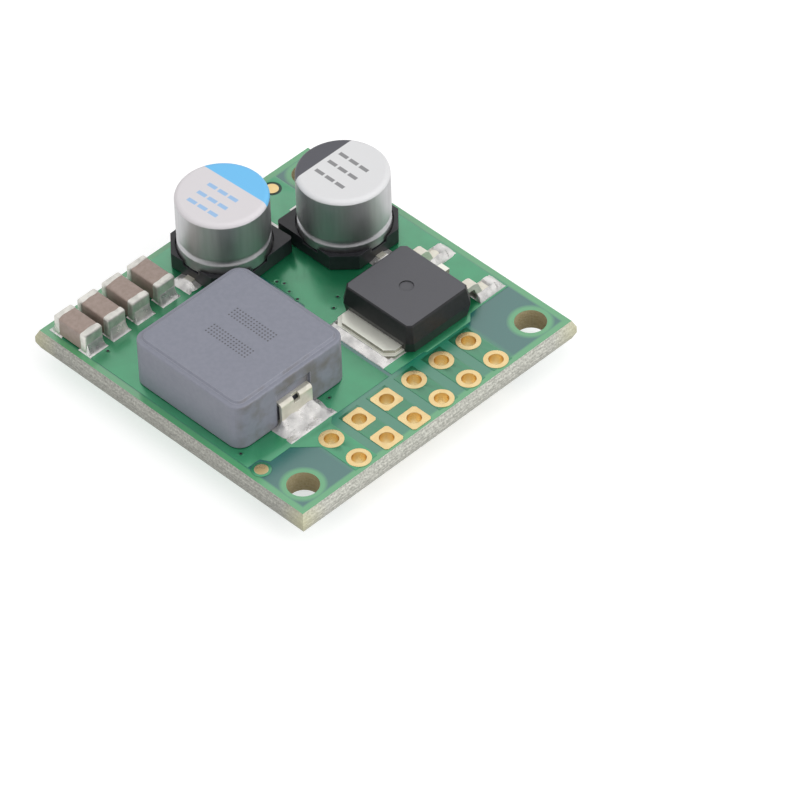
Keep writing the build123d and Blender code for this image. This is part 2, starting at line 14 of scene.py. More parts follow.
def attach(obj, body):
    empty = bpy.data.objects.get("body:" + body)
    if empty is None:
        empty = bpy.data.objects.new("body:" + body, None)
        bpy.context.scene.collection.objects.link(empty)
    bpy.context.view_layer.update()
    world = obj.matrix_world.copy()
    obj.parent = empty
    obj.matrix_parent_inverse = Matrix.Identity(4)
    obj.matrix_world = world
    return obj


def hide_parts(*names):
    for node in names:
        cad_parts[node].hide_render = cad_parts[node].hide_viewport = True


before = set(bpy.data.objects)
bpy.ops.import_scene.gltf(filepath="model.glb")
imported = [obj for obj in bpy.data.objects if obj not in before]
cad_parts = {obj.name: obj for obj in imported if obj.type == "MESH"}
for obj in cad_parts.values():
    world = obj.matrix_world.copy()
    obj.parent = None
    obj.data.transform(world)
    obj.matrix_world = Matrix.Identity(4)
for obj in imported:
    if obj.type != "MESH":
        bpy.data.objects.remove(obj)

LOG = logging.getLogger("buck_converter")
MM = 0.001
BOARD_UNDER = 1.63
BOARD_TOP = 3.23
SHARP_ANGLE = math.radians(38)
WELD_DISTANCE = 1e-7
MASK_COAT = {"Coat IOR": 1.9, "Coat Roughness": 0.22}
MASK_GRAIN = 3.0
MASK_PATCH = 0.35
RIPPLE_SCALE = 1.7
SEED_STEP = 3.1
LEAST_SOLDER = 0.004
FAR = 1000.0
WHITE = (1.0, 1.0, 1.0, 1.0)

Colour = tuple[float, float, float]
Spot = tuple[float, float]
Span = tuple[float, float]
Place = tuple[float, float, float]
Loop = list[Vector]
Material = bpy.types.Material
Mesh = bpy.types.Mesh
Node = bpy.types.Node
NodeTree = bpy.types.NodeTree
Object = bpy.types.Object
Socket = bpy.types.NodeSocket


# Seats and outlines
class Side(Enum):
    """Which face of the board a part stands on."""

    TOP = "top"
    UNDER = "under"

    def seat(self, x: float, y: float, turn: float = 0.0) -> Matrix:
        """A place on this face, turned by some degrees. Under the board its Z points down."""
        spin = Matrix.Rotation(math.radians(turn), 4, "Z")
        if self is Side.TOP:
            return Matrix.Translation((x, y, BOARD_TOP)) @ spin
        return Matrix.Translation((x, y, BOARD_UNDER)) @ spin @ Matrix.Rotation(math.pi, 4, "X")


def circle(x: float, y: float, radius: float, steps: int) -> list[Spot]:
    """The points of a circle, anticlockwise."""
    turns = [math.tau * step / steps for step in range(steps)]
    return [(x + radius * math.cos(a), y + radius * math.sin(a)) for a in turns]


def rounded_outline(width: float, depth: float, corner: float, sides: int, arcs: int) -> list[Spot]:
    """The points of a rectangle with rounded corners, anticlockwise.

    Args:
        width: Size along the first axis.
        depth: Size along the second axis.
        corner: Radius of the corners.
        sides: Runs that each straight side is divided into.
        arcs: Runs that each corner is divided into.

    Returns:
        The points, starting at the end of the right side.
    """
    spots: list[Spot] = []
    for right, up, start in ((1, 1, 0), (-1, 1, 90), (-1, -1, 180), (1, -1, 270)):
        middle = (right * (width / 2 - corner), up * (depth / 2 - corner))
        for step in range(arcs + 1):
            angle = math.radians(start + 90 * step / arcs)
            spots.append((middle[0] + corner * math.cos(angle), middle[1] + corner * math.sin(angle)))
    fine: list[Spot] = []
    for index, spot in enumerate(spots):
        fine.append(spot)
        if index % (arcs + 1) == arcs:
            after = spots[(index + 1) % len(spots)]
            for step in range(1, sides):
                share = step / sides
                fine.append((spot[0] + share * (after[0] - spot[0]), spot[1] + share * (after[1] - spot[1])))
    return fine


def ramp(value: float, low: float, high: float) -> float:
    """How far a value has come from low to high, held between 0 and 1."""
    return min(1.0, max(0.0, (value - low) / (high - low)))


def spread(stops: Sequence[tuple[float, int]]) -> list[float]:
    """Divides the way from stop to stop into runs.

    Args:
        stops: Each stop, with the count of runs that lead to it.

    Returns:
        The values, from the first stop to the last.
    """
    values = [stops[0][0]]
    for (low, _), (high, count) in zip(stops, stops[1:]):
        values += [low + (high - low) * step / count for step in range(1, count + 1)]
    return values


class MeshSketch:
    """Collects the points and faces of one piece, in millimetres."""

    def __init__(self) -> None:
        """Starts with no points."""
        self.points: list[Vector] = []
        self.faces: list[tuple[int, ...]] = []

    def row(self, loop: Iterable[Vector]) -> list[int]:
        """Adds points and gives their numbers."""
        start = len(self.points)
        self.points.extend(loop)
        return list(range(start, len(self.points)))

    def bridge(self, first: list[int], second: list[int], closed: bool = True) -> None:
        """Joins two rows of as many points by four-sided faces.

        Args:
            first: One row's numbers.
            second: The other row's numbers.
            closed: Whether the rows close on themselves.
        """
        for index in range(len(first) - (not closed)):
            after = (index + 1) % len(first)
            self.faces.append((first[index], first[after], second[after], second[index]))

    def loft(self, loops: Sequence[Loop]) -> None:
        """Runs a closed skin through loops and closes both ends."""
        rows = [self.row(loop) for loop in loops]
        for first, second in zip(rows, rows[1:]):
            self.bridge(first, second)
        self.faces.append(tuple(reversed(rows[0])))
        self.faces.append(tuple(rows[-1]))

    def lathe(self, profile: Sequence[Spot], steps: int) -> None:
        """Turns a profile of radius and height round Z; its ends lie near the axis."""
        self.loft([
            [Vector((x, y, height)) for x, y in circle(0, 0, radius, steps)] for radius, height in profile
        ])

    def stamp(self, other: "MeshSketch", seat: Matrix) -> None:
        """Adds a copy of another sketch at a seat."""
        start = len(self.points)
        self.points.extend(seat @ point for point in other.points)
        self.faces.extend(tuple(start + number for number in face) for face in other.faces)

    def build(self, name: str, material: Material, slot: str, *replaced: str) -> None:
        """Makes the piece, rides it on the part and dresses it.

        Args:
            name: The piece's name.
            material: Its finish.
            slot: The record's material slot.
            replaced: The nodes that it stands for.
        """
        mesh = bpy.data.meshes.new(name)
        mesh.from_pydata([point * MM for point in self.points], [], self.faces)
        settle(mesh, name, material, slot, *replaced)


def link(name: str, data: bpy.types.ID) -> Object:
    """A new object of the scene, over its data."""
    made = bpy.data.objects.new(name, data)
    bpy.context.scene.collection.objects.link(made)
    return made


def settle(mesh: Mesh, name: str, material: Material, slot: str, *replaced: str) -> None:
    """Turns a mesh in metres into a dressed piece of the part.

    Args:
        mesh: The finished mesh.
        name: The piece's name.
        material: Its finish.
        slot: The record's material slot; not used.
        replaced: The nodes that it stands for.
    """
    work = bmesh.new()
    work.from_mesh(mesh)
    bmesh.ops.remove_doubles(work, verts=work.verts, dist=WELD_DISTANCE)
    bmesh.ops.recalc_face_normals(work, faces=work.faces)
    work.to_mesh(mesh)
    work.free()
    mesh.polygons.foreach_set("use_smooth", [True] * len(mesh.polygons))
    mesh.set_sharp_from_angle(angle=SHARP_ANGLE)
    mesh.materials.clear()
    mesh.materials.append(material)
    piece = link(name, mesh)
    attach(piece, "root")
    if replaced:
        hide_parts(*replaced)
    LOG.info("%s: %d faces", name, len(mesh.polygons))


def plate(outlines: Sequence[Sequence[Spot]], level: float, half: float, edge: float) -> Mesh:
    """A thin flat sheet with rounded edges, cut from nested outlines.

    Args:
        outlines: The outer edges and the holes, in millimetres.
        level: Height of the sheet's middle.
        half: Half its thickness, edges included.
        edge: Radius of its edges.

    Returns:
        The sheet's mesh, in metres.
    """
    curve = bpy.data.curves.new("sheet", "CURVE")
    curve.dimensions = "2D"
    curve.fill_mode = "BOTH"
    curve.extrude = (half - edge) * MM
    curve.bevel_depth = edge * MM
    curve.bevel_resolution = 1
    curve.offset = -edge * MM
    for outline in outlines:
        spline = curve.splines.new("POLY")
        spline.points.add(len(outline) - 1)
        for point, (x, y) in zip(spline.points, outline):
            point.co = (x * MM, y * MM, 0, 1)
        spline.use_cyclic_u = True
    holder = bpy.data.objects.new("sheet", curve)
    mesh = bpy.data.meshes.new_from_object(holder)
    mesh.transform(Matrix.Translation((0, 0, level * MM)))
    bpy.data.objects.remove(holder)
    bpy.data.curves.remove(curve)
    return mesh


def dress(material: Material, *nodes: str) -> None:
    """Gives the nodes that keep their own shape a finish."""
    for name in nodes:
        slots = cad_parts[name].data.materials
        for index in range(len(slots)):
            slots[index] = material
        if not slots:
            slots.append(material)
        LOG.info("%s: dressed in %s", name, material.name)


# Shader nodes
class Net:
    """Lays out one node tree with short calls."""

    def __init__(self, tree: NodeTree) -> None:
        """Works on a tree that already exists."""
        self.tree = tree

    def feed(self, socket: Socket, value: object) -> None:
        """Links a socket to another, or sets its own value."""
        if isinstance(value, Socket):
            self.tree.links.new(value, socket)
        else:
            socket.default_value = value

    def fill(self, node: Node, values: dict) -> None:
        """Feeds several inputs of a node."""
        for key, value in values.items():
            self.feed(node.inputs[key], value)

    def add(self, kind: str, inputs: dict | None = None, **settings: object) -> Node:
        """Adds a node.

        Args:
            kind: The node's type, without its first word.
            inputs: The values or links of its inputs.
            settings: Its own settings.

        Returns:
            The new node.
        """
        node = self.tree.nodes.new("ShaderNode" + kind)
        for name, value in settings.items():
            setattr(node, name, value)
        self.fill(node, inputs or {})
        return node

    def math(self, operation: str, first: object, second: object = 0.0) -> Socket:
        """The result of a sum, a product or another operation."""
        return self.add("Math", {0: first, 1: second}, operation=operation).outputs[0]

    def times(self, first: object, second: object) -> Socket:
        """The product of two values."""
        return self.math("MULTIPLY", first, second)

    def blend(self, share: object, first: object, second: object) -> Socket:
        """A colour between two, by a share."""
        first, second = [(*c, 1.0) if isinstance(c, tuple) else c for c in (first, second)]
        return self.add("Mix", {0: share, 6: first, 7: second}, data_type="RGBA").outputs[2]

    def level(self, value: object, low: float, high: float, start: float = 0.0, end: float = 1.0) -> Socket:
        """A value carried from one range to another, held at its ends."""
        keys = {"Value": value, "From Min": low, "From Max": high, "To Min": start, "To Max": end}
        return self.add("MapRange", keys).outputs[0]

    def nearest(self, across: object, along: object, spots: Sequence[Spot]) -> object:
        """The distance from the nearest of some spots, in millimetres."""
        least: object = FAR
        for x, y in spots:
            sides = {0: self.math("SUBTRACT", across, x), 1: self.math("SUBTRACT", along, y)}
            reach = self.add("CombineXYZ", sides).outputs[0]
            away = self.add("VectorMath", {0: reach}, operation="LENGTH").outputs["Value"]
            least = self.math("MINIMUM", least, away)
        return least

    def within(self, place: object, middles: Sequence[float], half: float) -> Socket:
        """How deep a place lies in the nearest of some bars of one half width."""
        least: object = FAR
        for middle in middles:
            away = self.math("ABSOLUTE", self.math("SUBTRACT", place, middle))
            least = self.math("MINIMUM", least, away)
        return self.math("SUBTRACT", half, least)

    def bump(self, height: object, depth: float, **normal: Socket) -> Socket:
        """A normal bent by a height, whose depth is in millimetres."""
        keys = {"Strength": 1.0, "Distance": depth * MM, "Height": height, **normal}
        return self.add("Bump", keys).outputs[0]

    def gloss(self, effects: "Effects", scale: float, span: Span) -> Socket:
        """A roughness that handling changes a little."""
        return self.level(self.use(effects.smudge, Scale=scale).outputs["Mask"], 0.0, 1.0, *span)

    def spots(self) -> Socket:
        """The place on the part, in millimetres."""
        place = self.add("TexCoord").outputs["Object"]
        return self.add("VectorMath", {0: place, "Scale": 1 / MM}, operation="SCALE").outputs[0]

    def split(self, vector: Socket) -> tuple[Socket, ...]:
        """The three parts of a vector."""
        return tuple(self.add("SeparateXYZ", {0: vector}).outputs)

    def noise(self, vector: object, scale: object, detail: float) -> Socket:
        """Soft noise between 0 and 1."""
        return self.add("TexNoise", {"Vector": vector, "Scale": scale, "Detail": detail}).outputs[0]

    def use(self, group: NodeTree, **inputs: object) -> Node:
        """Places a shared effect, with this material's own values."""
        node = self.add("Group", node_tree=group)
        self.fill(node, inputs)
        return node


def effect(name: str, inputs: dict[str, float | Colour], outputs: dict[str, str]) -> tuple:
    """A new shader node group with named inputs and outputs.

    Args:
        name: The group's name.
        inputs: Each input's name and first value.
        outputs: Each output's name and kind of socket.

    Returns:
        The group, a net over it, its input node and its output node.
    """
    group = bpy.data.node_groups.new(name, "ShaderNodeTree")
    for label, value in inputs.items():
        kind = "NodeSocketVector" if isinstance(value, tuple) else "NodeSocketFloat"
        group.interface.new_socket(name=label, in_out="INPUT", socket_type=kind).default_value = value
    for label, kind in outputs.items():
        group.interface.new_socket(name=label, in_out="OUTPUT", socket_type="NodeSocket" + kind)
    return group, Net(group), group.nodes.new("NodeGroupInput"), group.nodes.new("NodeGroupOutput")


def surface(name: str) -> tuple[Material, Net, Node]:
    """A new material, a net over its nodes and its shader."""
    material = bpy.data.materials.new(name)
    material.use_nodes = True
    return material, Net(material.node_tree), material.node_tree.nodes["Principled BSDF"]


class Effects:
    """The effects that several finishes share, each built once."""

    def __init__(self) -> None:
        """Builds every group."""
        self.grain = self.make_grain()
        self.edges = self.make_edges()
        self.smudge = self.make_smudge()
        self.weave = self.make_weave()

    @staticmethod
    def make_grain() -> NodeTree:
        """Fine grain: a coarse mask for colour and a fine height for the bump."""
        group, net, given, made = effect(
            "fine_grain", {"Scale": 10.0, "Stretch": (1.0, 1.0, 1.0)}, {"Mask": "Float", "Height": "Float"}
        )
        stretched = {0: net.spots(), 1: given.outputs["Stretch"]}
        place = net.add("VectorMath", stretched, operation="MULTIPLY").outputs[0]
        coarse = net.noise(place, net.times(given.outputs["Scale"], 0.22), 4.0)
        fine = net.noise(place, given.outputs["Scale"], 2.0)
        height = net.math("ADD", fine, net.times(coarse, 0.6))
        net.fill(made, {"Mask": net.level(coarse, 0.36, 0.64), "Height": height})
        return group

    @staticmethod
    def make_edges() -> NodeTree:
        """Rounded edges: a normal that turns the corner and a mask of where it does, which paints a highlight
        on them.
        """
        outputs = {"Lit Edge": "Float", "Normal": "Vector"}
        group, net, given, made = effect("soft_edges", {"Radius": 0.0001}, outputs)
        turned = net.add("Bevel", {"Radius": given.outputs["Radius"]}, samples=6).outputs[0]
        flat = net.add("NewGeometry").outputs["Normal"]
        match = net.add("VectorMath", {0: turned, 1: flat}, operation="DOT_PRODUCT").outputs["Value"]
        net.fill(made, {"Lit Edge": net.level(match, 0.995, 0.86), "Normal": turned})
        return group

    @staticmethod
    def make_smudge() -> NodeTree:
        """Handling: wide soft patches where the gloss changes a little."""
        group, net, given, made = effect("handling", {"Scale": 0.5}, {"Mask": "Float"})
        patch = net.noise(net.spots(), given.outputs["Scale"], 5.0)
        net.feed(made.inputs["Mask"], net.level(patch, 0.38, 0.66))
        return group

    @staticmethod
    def make_weave() -> NodeTree:
        """Glass cloth pressed in resin: layers seen at an edge, as a mask and a height."""
        group, net, given, made = effect("glass_cloth", {"Layers": 5.0}, {"Mask": "Float", "Height": "Float"})
        across, along, up = net.split(net.spots())
        drift = net.noise(net.spots(), 0.9, 2.0)
        layered = net.times(up, given.outputs["Layers"])
        lift = net.math("ADD", layered, net.times(drift, 1.1))
        band = net.math("SINE", net.times(lift, math.tau))
        flat = net.add("CombineXYZ", {0: across, 1: along, 2: net.times(up, 1.6)}).outputs[0]
        speck = net.noise(flat, 6.5, 6.0)
        mixed = net.math("ADD", net.times(band, 0.05), speck)
        net.fill(made, {"Mask": net.level(mixed, 0.34, 0.68), "Height": mixed})
        return group


@dataclass(frozen=True)
class Finish:
    """A finish of one substance: two tones, its gloss, its grain and its edges, whose lighter tone is a painted
    highlight.

    Faces that look up or down can take their own tone, a painted light, and faces across the length can have
    darker cloudy patches.
    """

    name: str
    tone: Colour
    second: Colour
    # Painted highlight: the lighter tone of rounded edges.
    lit_edge_tone: Colour
    roughness: Span
    metallic: float = 0.0
    grain: float = 14.0
    depth: float = 0.004
    edge: float = 0.08
    smudge: float = 0.5
    specular: float = 0.5
    # Painted light: a lighter tone for faces that look up or down.
    lit_face_tone: Colour | None = None
    # Darker cloudy patches on faces across the length.
    end_dark_tone: Colour | None = None

    def make(self, effects: Effects) -> Material:
        """Builds the material.

        Args:
            effects: The shared node groups.

        Returns:
            The finished material.
        """
        material, net, shader = surface(self.name)
        grain = net.use(effects.grain, Scale=self.grain)
        edges = net.use(effects.edges, Radius=self.edge * MM)
        tone = net.blend(grain.outputs["Mask"], self.tone, self.second)
        _, endwise, upright = net.split(net.add("NewGeometry").outputs["True Normal"])
        # Painted light: faces that look up or down take a tone of their own.
        if self.lit_face_tone:
            lean = net.math("ABSOLUTE", upright)
            tone = net.blend(net.level(lean, 0.9, 0.98), tone, self.lit_face_tone)
        # Faces across the length take darker cloudy patches.
        if self.end_dark_tone:
            facing = net.level(net.math("ABSOLUTE", endwise), 0.5, 0.95)
            cloud = net.level(net.noise(net.spots(), 0.55, 6.0), 0.44, 0.62, 0.0, 0.85)
            tone = net.blend(net.times(facing, cloud), tone, self.end_dark_tone)
        # Painted highlight: rounded edges take a lighter tone.
        net.fill(shader, {
            "Base Color": net.blend(edges.outputs["Lit Edge"], tone, self.lit_edge_tone),
            "Roughness": net.gloss(effects, self.smudge, self.roughness),
            "Metallic": self.metallic,
            "Specular IOR Level": self.specular,
            "Normal": net.bump(grain.outputs["Height"], self.depth, Normal=edges.outputs["Normal"]),
        })
        return material


class Stock(Enum):
    """The plain finishes, by the substance that they stand for."""

    SOLDER = Finish(
        "solder", (0.84, 0.82, 0.8), (0.6, 0.59, 0.58), (0.88, 0.86, 0.84), (0.26, 0.44), 0.75,
        grain=6.0, depth=0.03, edge=0.02, smudge=2.0,
    )
    TIN = Finish(
        "bright_tin", (0.82, 0.79, 0.69), (0.74, 0.71, 0.61), (0.9, 0.88, 0.8), (0.28, 0.42), 0.6,
        grain=9.0, edge=0.04, smudge=1.6,
    )
    # The tab's bright top over darker sides is painted light.
    TAB = Finish(
        "tab_tin", (0.4, 0.39, 0.32), (0.33, 0.32, 0.26), (1.0, 1.0, 0.95), (0.28, 0.36), 0.6,
        grain=9.0, depth=0.0005, edge=0.05, smudge=0.8, lit_face_tone=(0.96, 0.96, 0.86),
    )
    CAP_METAL = Finish(
        "fired_end_metal", (0.8, 0.78, 0.73), (0.62, 0.61, 0.57), (0.88, 0.86, 0.81), (0.38, 0.55), 0.75,
        grain=9.0, depth=0.014, edge=0.04, smudge=2.4,
    )
    GOLD = Finish(
        "gold_plate", (0.93, 0.72, 0.38), (0.88, 0.65, 0.32), (0.97, 0.82, 0.55), (0.24, 0.36), 1.0,
        grain=8.0, edge=0.03, smudge=1.2,
    )
    # The epoxy's lighter top is painted sheen, partly its textured top.
    MOULD = Finish(
        "black_epoxy", (0.016, 0.016, 0.017), (0.02, 0.02, 0.022), (0.03, 0.03, 0.033), (0.36, 0.44),
        grain=16.0, depth=0.006, edge=0.05, specular=0.35, lit_face_tone=(0.096, 0.096, 0.106),
    )
    BASE = Finish(
        "black_nylon", (0.012, 0.012, 0.015), (0.018, 0.018, 0.022), (0.04, 0.04, 0.048), (0.28, 0.4),
        grain=10.0, edge=0.05,
    )
    POWDER = Finish(
        "pressed_powder", (0.232, 0.24, 0.29), (0.216, 0.225, 0.272), (0.31, 0.32, 0.375), (0.4, 0.5),
        grain=15.0, depth=0.006, edge=0.14, end_dark_tone=(0.15, 0.14, 0.135),
    )
    CERAMIC = Finish(
        "brown_ceramic", (0.35, 0.27, 0.235), (0.3, 0.23, 0.195), (0.39, 0.31, 0.27), (0.3, 0.42),
        edge=0.06, smudge=1.4,
    )
    RESISTOR = Finish(
        "resistor_glaze", (0.02, 0.02, 0.026), (0.03, 0.03, 0.04), (0.5, 0.5, 0.48), (0.2, 0.3),
        depth=0.003, edge=0.03, smudge=1.4,
    )
    DARK_DOT = Finish(
        "laser_dot", (0.1, 0.103, 0.12), (0.12, 0.123, 0.14), (0.15, 0.15, 0.17), (0.6, 0.7),
        depth=0.003, edge=0.02,
    )


class Paintbox:
    """Makes each finish the first time that it is asked for."""

    def __init__(self) -> None:
        """Builds the shared effects."""
        self.effects = Effects()
        self.made: dict[Stock, Material] = {}

    def take(self, stock: Stock) -> Material:
        """The material of a plain finish."""
        if stock not in self.made:
            self.made[stock] = stock.value.make(self.effects)
        return self.made[stock]


# Circuit board
@dataclass(frozen=True)
class MaskedCopper:
    """Green solder mask over copper: a tinted mirror under a clear coat."""

    name: str = "masked_copper"
    tint: Colour = (0.012, 0.318, 0.128)
    deep: Colour = (0.01, 0.285, 0.114)
    metallic: float = 0.68
    roughness: Span = (0.35, 0.41)
    depth: float = 0.003

    def make(self, effects: Effects) -> Material:
        """Builds the material.

        Args:
            effects: The shared node groups.

        Returns:
            The finished material.
        """
        material, net, shader = surface(self.name)
        grain = net.use(effects.grain, Scale=MASK_GRAIN)
        net.fill(shader, {
            "Base Color": net.blend(grain.outputs["Mask"], self.tint, self.deep),
            "Roughness": net.gloss(effects, MASK_PATCH, self.roughness),
            "Metallic": self.metallic,
            "Coat Weight": 1.0,
            **MASK_COAT,
            "Normal": net.bump(grain.outputs["Height"], self.depth),
        })
        return material


@dataclass(frozen=True)
class BareLaminate:
    """The board itself: mask over bare laminate on its faces, cut glass cloth on its edges."""

    over_inner: Colour = (0.004, 0.123, 0.106)
    over_clear: Colour = (0.07, 0.34, 0.136)
    over_pins: Colour = (0.012, 0.2, 0.11)
    cloth: Colour = (0.68, 0.68, 0.61)
    resin: Colour = (0.34, 0.34, 0.3)
    corner_resin: Colour = (0.62, 0.6, 0.36)
    unmasked: Colour = (0.012, 0.05, 0.035)
    # Painted shade: the dark golden brown of the mounting holes' walls.
    bore: Colour = (0.34, 0.26, 0.1)
    bore_shade_share: float = 0.75
    # Painted shade: the darker tone of edges that face along X.
    shaded_x_edge: Colour = (0.16, 0.16, 0.15)
    shaded_x_edge_share: float = 0.36
    clear_edge: float = 12.02
    clear_ring: float = 1.55
    bore_wall: Span = (1.3, 1.2)
    mark_opening: Span = (0.72, 0.66)
    pin_sides: Span = (7.6, 7.2)
    pin_rear: Span = (-7.3, -7.6)
    corner_reach: Span = (23.2, 25.3)
    gloss: Span = (0.2, 0.26)
    cut_roughness: float = 0.75
    depth: float = 0.006

    def make(self, effects: Effects, holes: Sequence[Spot], marks: Sequence[Spot]) -> Material:
        """Builds the material.

        Args:
            effects: The shared node groups.
            holes: The centres of the mounting holes.
            marks: The centres of the aiming marks.

        Returns:
            The finished material.
        """
        material, net, shader = surface("laminate")
        across, along, _ = net.split(net.spots())
        wide, deep = net.math("ABSOLUTE", across), net.math("ABSOLUTE", along)
        rim = net.math("MAXIMUM", wide, deep)
        clear = net.level(rim, self.clear_edge - 0.12, self.clear_edge + 0.06)
        from_hole = net.nearest(across, along, holes)
        ring = net.level(from_hole, self.clear_ring + 0.1, self.clear_ring - 0.2)
        clear = net.math("MAXIMUM", clear, ring)
        bored = net.level(from_hole, *self.bore_wall)
        opened = net.level(net.nearest(across, along, marks), *self.mark_opening)
        weave = net.use(effects.weave, Layers=4.2)
        grain = net.use(effects.grain, Scale=MASK_GRAIN)
        near_pins = net.math("MINIMUM", net.level(wide, *self.pin_sides), net.level(along, *self.pin_rear))
        face = net.blend(near_pins, self.over_inner, self.over_pins)
        face = net.blend(clear, face, self.over_clear)
        face = net.blend(opened, face, self.unmasked)
        sideways, _, upright = net.split(net.add("NewGeometry").outputs["True Normal"])
        # Painted shade: edges that face along X are drawn darker.
        x_edge_shade = net.times(net.math("ABSOLUTE", sideways), self.shaded_x_edge_share)
        edge = net.blend(weave.outputs["Mask"], self.resin, self.cloth)
        edge = net.blend(x_edge_shade, edge, self.shaded_x_edge)
        corner = net.level(net.math("ADD", wide, deep), *self.corner_reach, 0.0, 0.6)
        edge = net.blend(corner, edge, self.corner_resin)
        # Painted shade: the walls of the mounting holes are drawn dark golden brown.
        edge = net.blend(net.times(bored, self.bore_shade_share), edge, self.bore)
        masked = net.level(net.math("ABSOLUTE", upright), 0.94, 0.97)
        gloss = net.gloss(effects, MASK_PATCH, self.gloss)
        smooth = net.times(masked, net.math("SUBTRACT", gloss, self.cut_roughness))
        cut = net.times(weave.outputs["Height"], net.math("SUBTRACT", 1.0, masked))
        fine = net.times(grain.outputs["Height"], 0.5)
        height = net.math("ADD", net.times(cut, 8.0), fine)
        net.fill(shader, {
            "Base Color": net.blend(masked, edge, face),
            "Roughness": net.math("ADD", smooth, self.cut_roughness),
            "Coat Weight": net.times(masked, net.math("SUBTRACT", 1.0, opened)),
            **MASK_COAT,
            "Normal": net.bump(height, self.depth),
        })
        return material


@dataclass
class CircuitBoard:
    """The laminate, its copper under the mask, its plated holes and aiming marks."""

    mounts: Sequence[Spot] = ((-10.54, -10.54), (10.54, -10.54), (10.54, 10.54))
    mark_spots: Sequence[Spot] = ((-11.46, -7.61), (7.85, 11.25))
    columns: Sequence[float] = (-6.35, -3.81, -1.27, 1.27, 3.81, 6.35)
    rows: Sequence[float] = (-11.43, -8.89)
    bore: float = 0.56
    mark_ring: float = 0.68
    relief: float = 0.017
    relief_edge: float = 0.012
    relief_rise: float = 0.6
    strip_half: float = 0.86
    strip_ends: Span = (-12.1, -7.85)
    vias: Sequence[Spot] = (
        (-11.37, -5.6), (-3.75, -6.05), (1.54, 3.11), (1.41, 2.19), (1.64, 4.41),
        (3.42, 0.42), (2.47, -0.17), (-10.71, 7.71), (1.87, 3.92),
    )
    via_ring: float = 0.2
    via_pit: float = 0.11
    via_height: float = 0.042

    def outlines(self) -> dict[str, list[list[Spot]]]:
        """The copper areas of the top face, each with its holes."""
        left = [
            (-11.95, -6.85), (-10.9, -6.85), (-10.55, -7.5), (-8.75, -7.5), (-7.3, -8.95), (-7.3, -12.1),
            (-5.35, -12.1), (-5.35, -7.85), (-4.9, -7.45), (0.35, -7.45), (0.35, 0.9), (1.0, 1.5),
            (1.0, 12.05), (-11.95, 12.05),
        ]
        right = [
            (0.62, -7.45), (3.55, -7.45), (3.75, -7.65), (7.8, -7.65), (8.35, -7.1), (11.95, -7.1),
            (11.95, 8.9), (9.2, 8.9), (8.9, 9.2), (8.9, 12.05), (1.3, 12.05), (1.3, 1.4), (0.62, 0.7),
        ]
        areas = {"left_pour": [left], "right_pour": [right]}
        front, rear = self.strip_ends
        for index, middle in enumerate(self.columns[1:], 2):
            low, high = middle - self.strip_half, middle + self.strip_half
            areas[f"pad_strip_{index}"] = [[(low, front), (high, front), (high, rear), (low, rear)]]
        for x, y in self.mark_spots:
            areas["left_pour" if x < 0 else "right_pour"].append(circle(x, y, self.mark_ring, 32))
        for index, middle in enumerate(self.columns, 1):
            name = "left_pour" if index == 1 else f"pad_strip_{index}"
            areas[name] += [circle(middle, row, self.bore, 24) for row in self.rows]
        return areas

    def build(self, box: Paintbox) -> None:
        """Makes the copper relief and the vias and dresses the board's own nodes."""
        dress(BareLaminate().make(box.effects, self.mounts, self.mark_spots), "circuit_board")
        dress(box.take(Stock.GOLD), "round_pin_platings", "square_pin_platings", "aiming_marks")
        green = MaskedCopper().make(box.effects)
        dull = MaskedCopper("masked_pin_strips", (0.014, 0.245, 0.105), (0.012, 0.225, 0.098))
        dull_green = dull.make(box.effects)
        for name, outlines in self.outlines().items():
            level = BOARD_TOP + self.relief * self.relief_rise
            sheet = plate(outlines, level, self.relief, self.relief_edge)
            settle(sheet, name, dull_green if name.startswith("pad") else green, "board")
        self.build_underside(green)
        self.build_vias(green, box.take(Stock.BASE))

    def build_underside(self, green: Material) -> None:
        """The copper of the underside: one wide area, clear of the holes."""
        outline = [(-11.95, -7.6), (11.95, -7.6), (11.95, 8.9), (8.9, 8.9), (8.9, 12.05), (-11.95, 12.05)]
        level = BOARD_UNDER - self.relief * self.relief_rise
        sheet = plate([outline], level, self.relief, self.relief_edge)
        settle(sheet, "underside_pour", green, "board")

    def build_vias(self, green: Material, dark: Material) -> None:
        """The small holes between the layers, under the mask: a raised ring, and a black disc in it as painted
        shade of the hole.
        """
        ring, hole_shade = MeshSketch(), MeshSketch()
        wide, narrow, up = self.via_ring, self.via_pit, self.via_height
        profile = ((wide + 0.03, 0.0), (wide, up), (narrow + 0.03, up), (narrow, 0.03), (0.02, 0.03))
        ring.lathe(profile, 24)
        # Painted shade: a black disc in the ring stands for the dark of the hole.
        hole_shade.lathe(((narrow, 0.02), (narrow - 0.01, 0.036), (0.02, 0.034)), 20)
        rings, hole_shades = MeshSketch(), MeshSketch()
        for x, y in self.vias:
            rings.stamp(ring, Side.TOP.seat(x, y))
            hole_shades.stamp(hole_shade, Side.TOP.seat(x, y))
        rings.build("via_rings", green, "board")
        hole_shades.build("via_hole_shades", dark, "board")


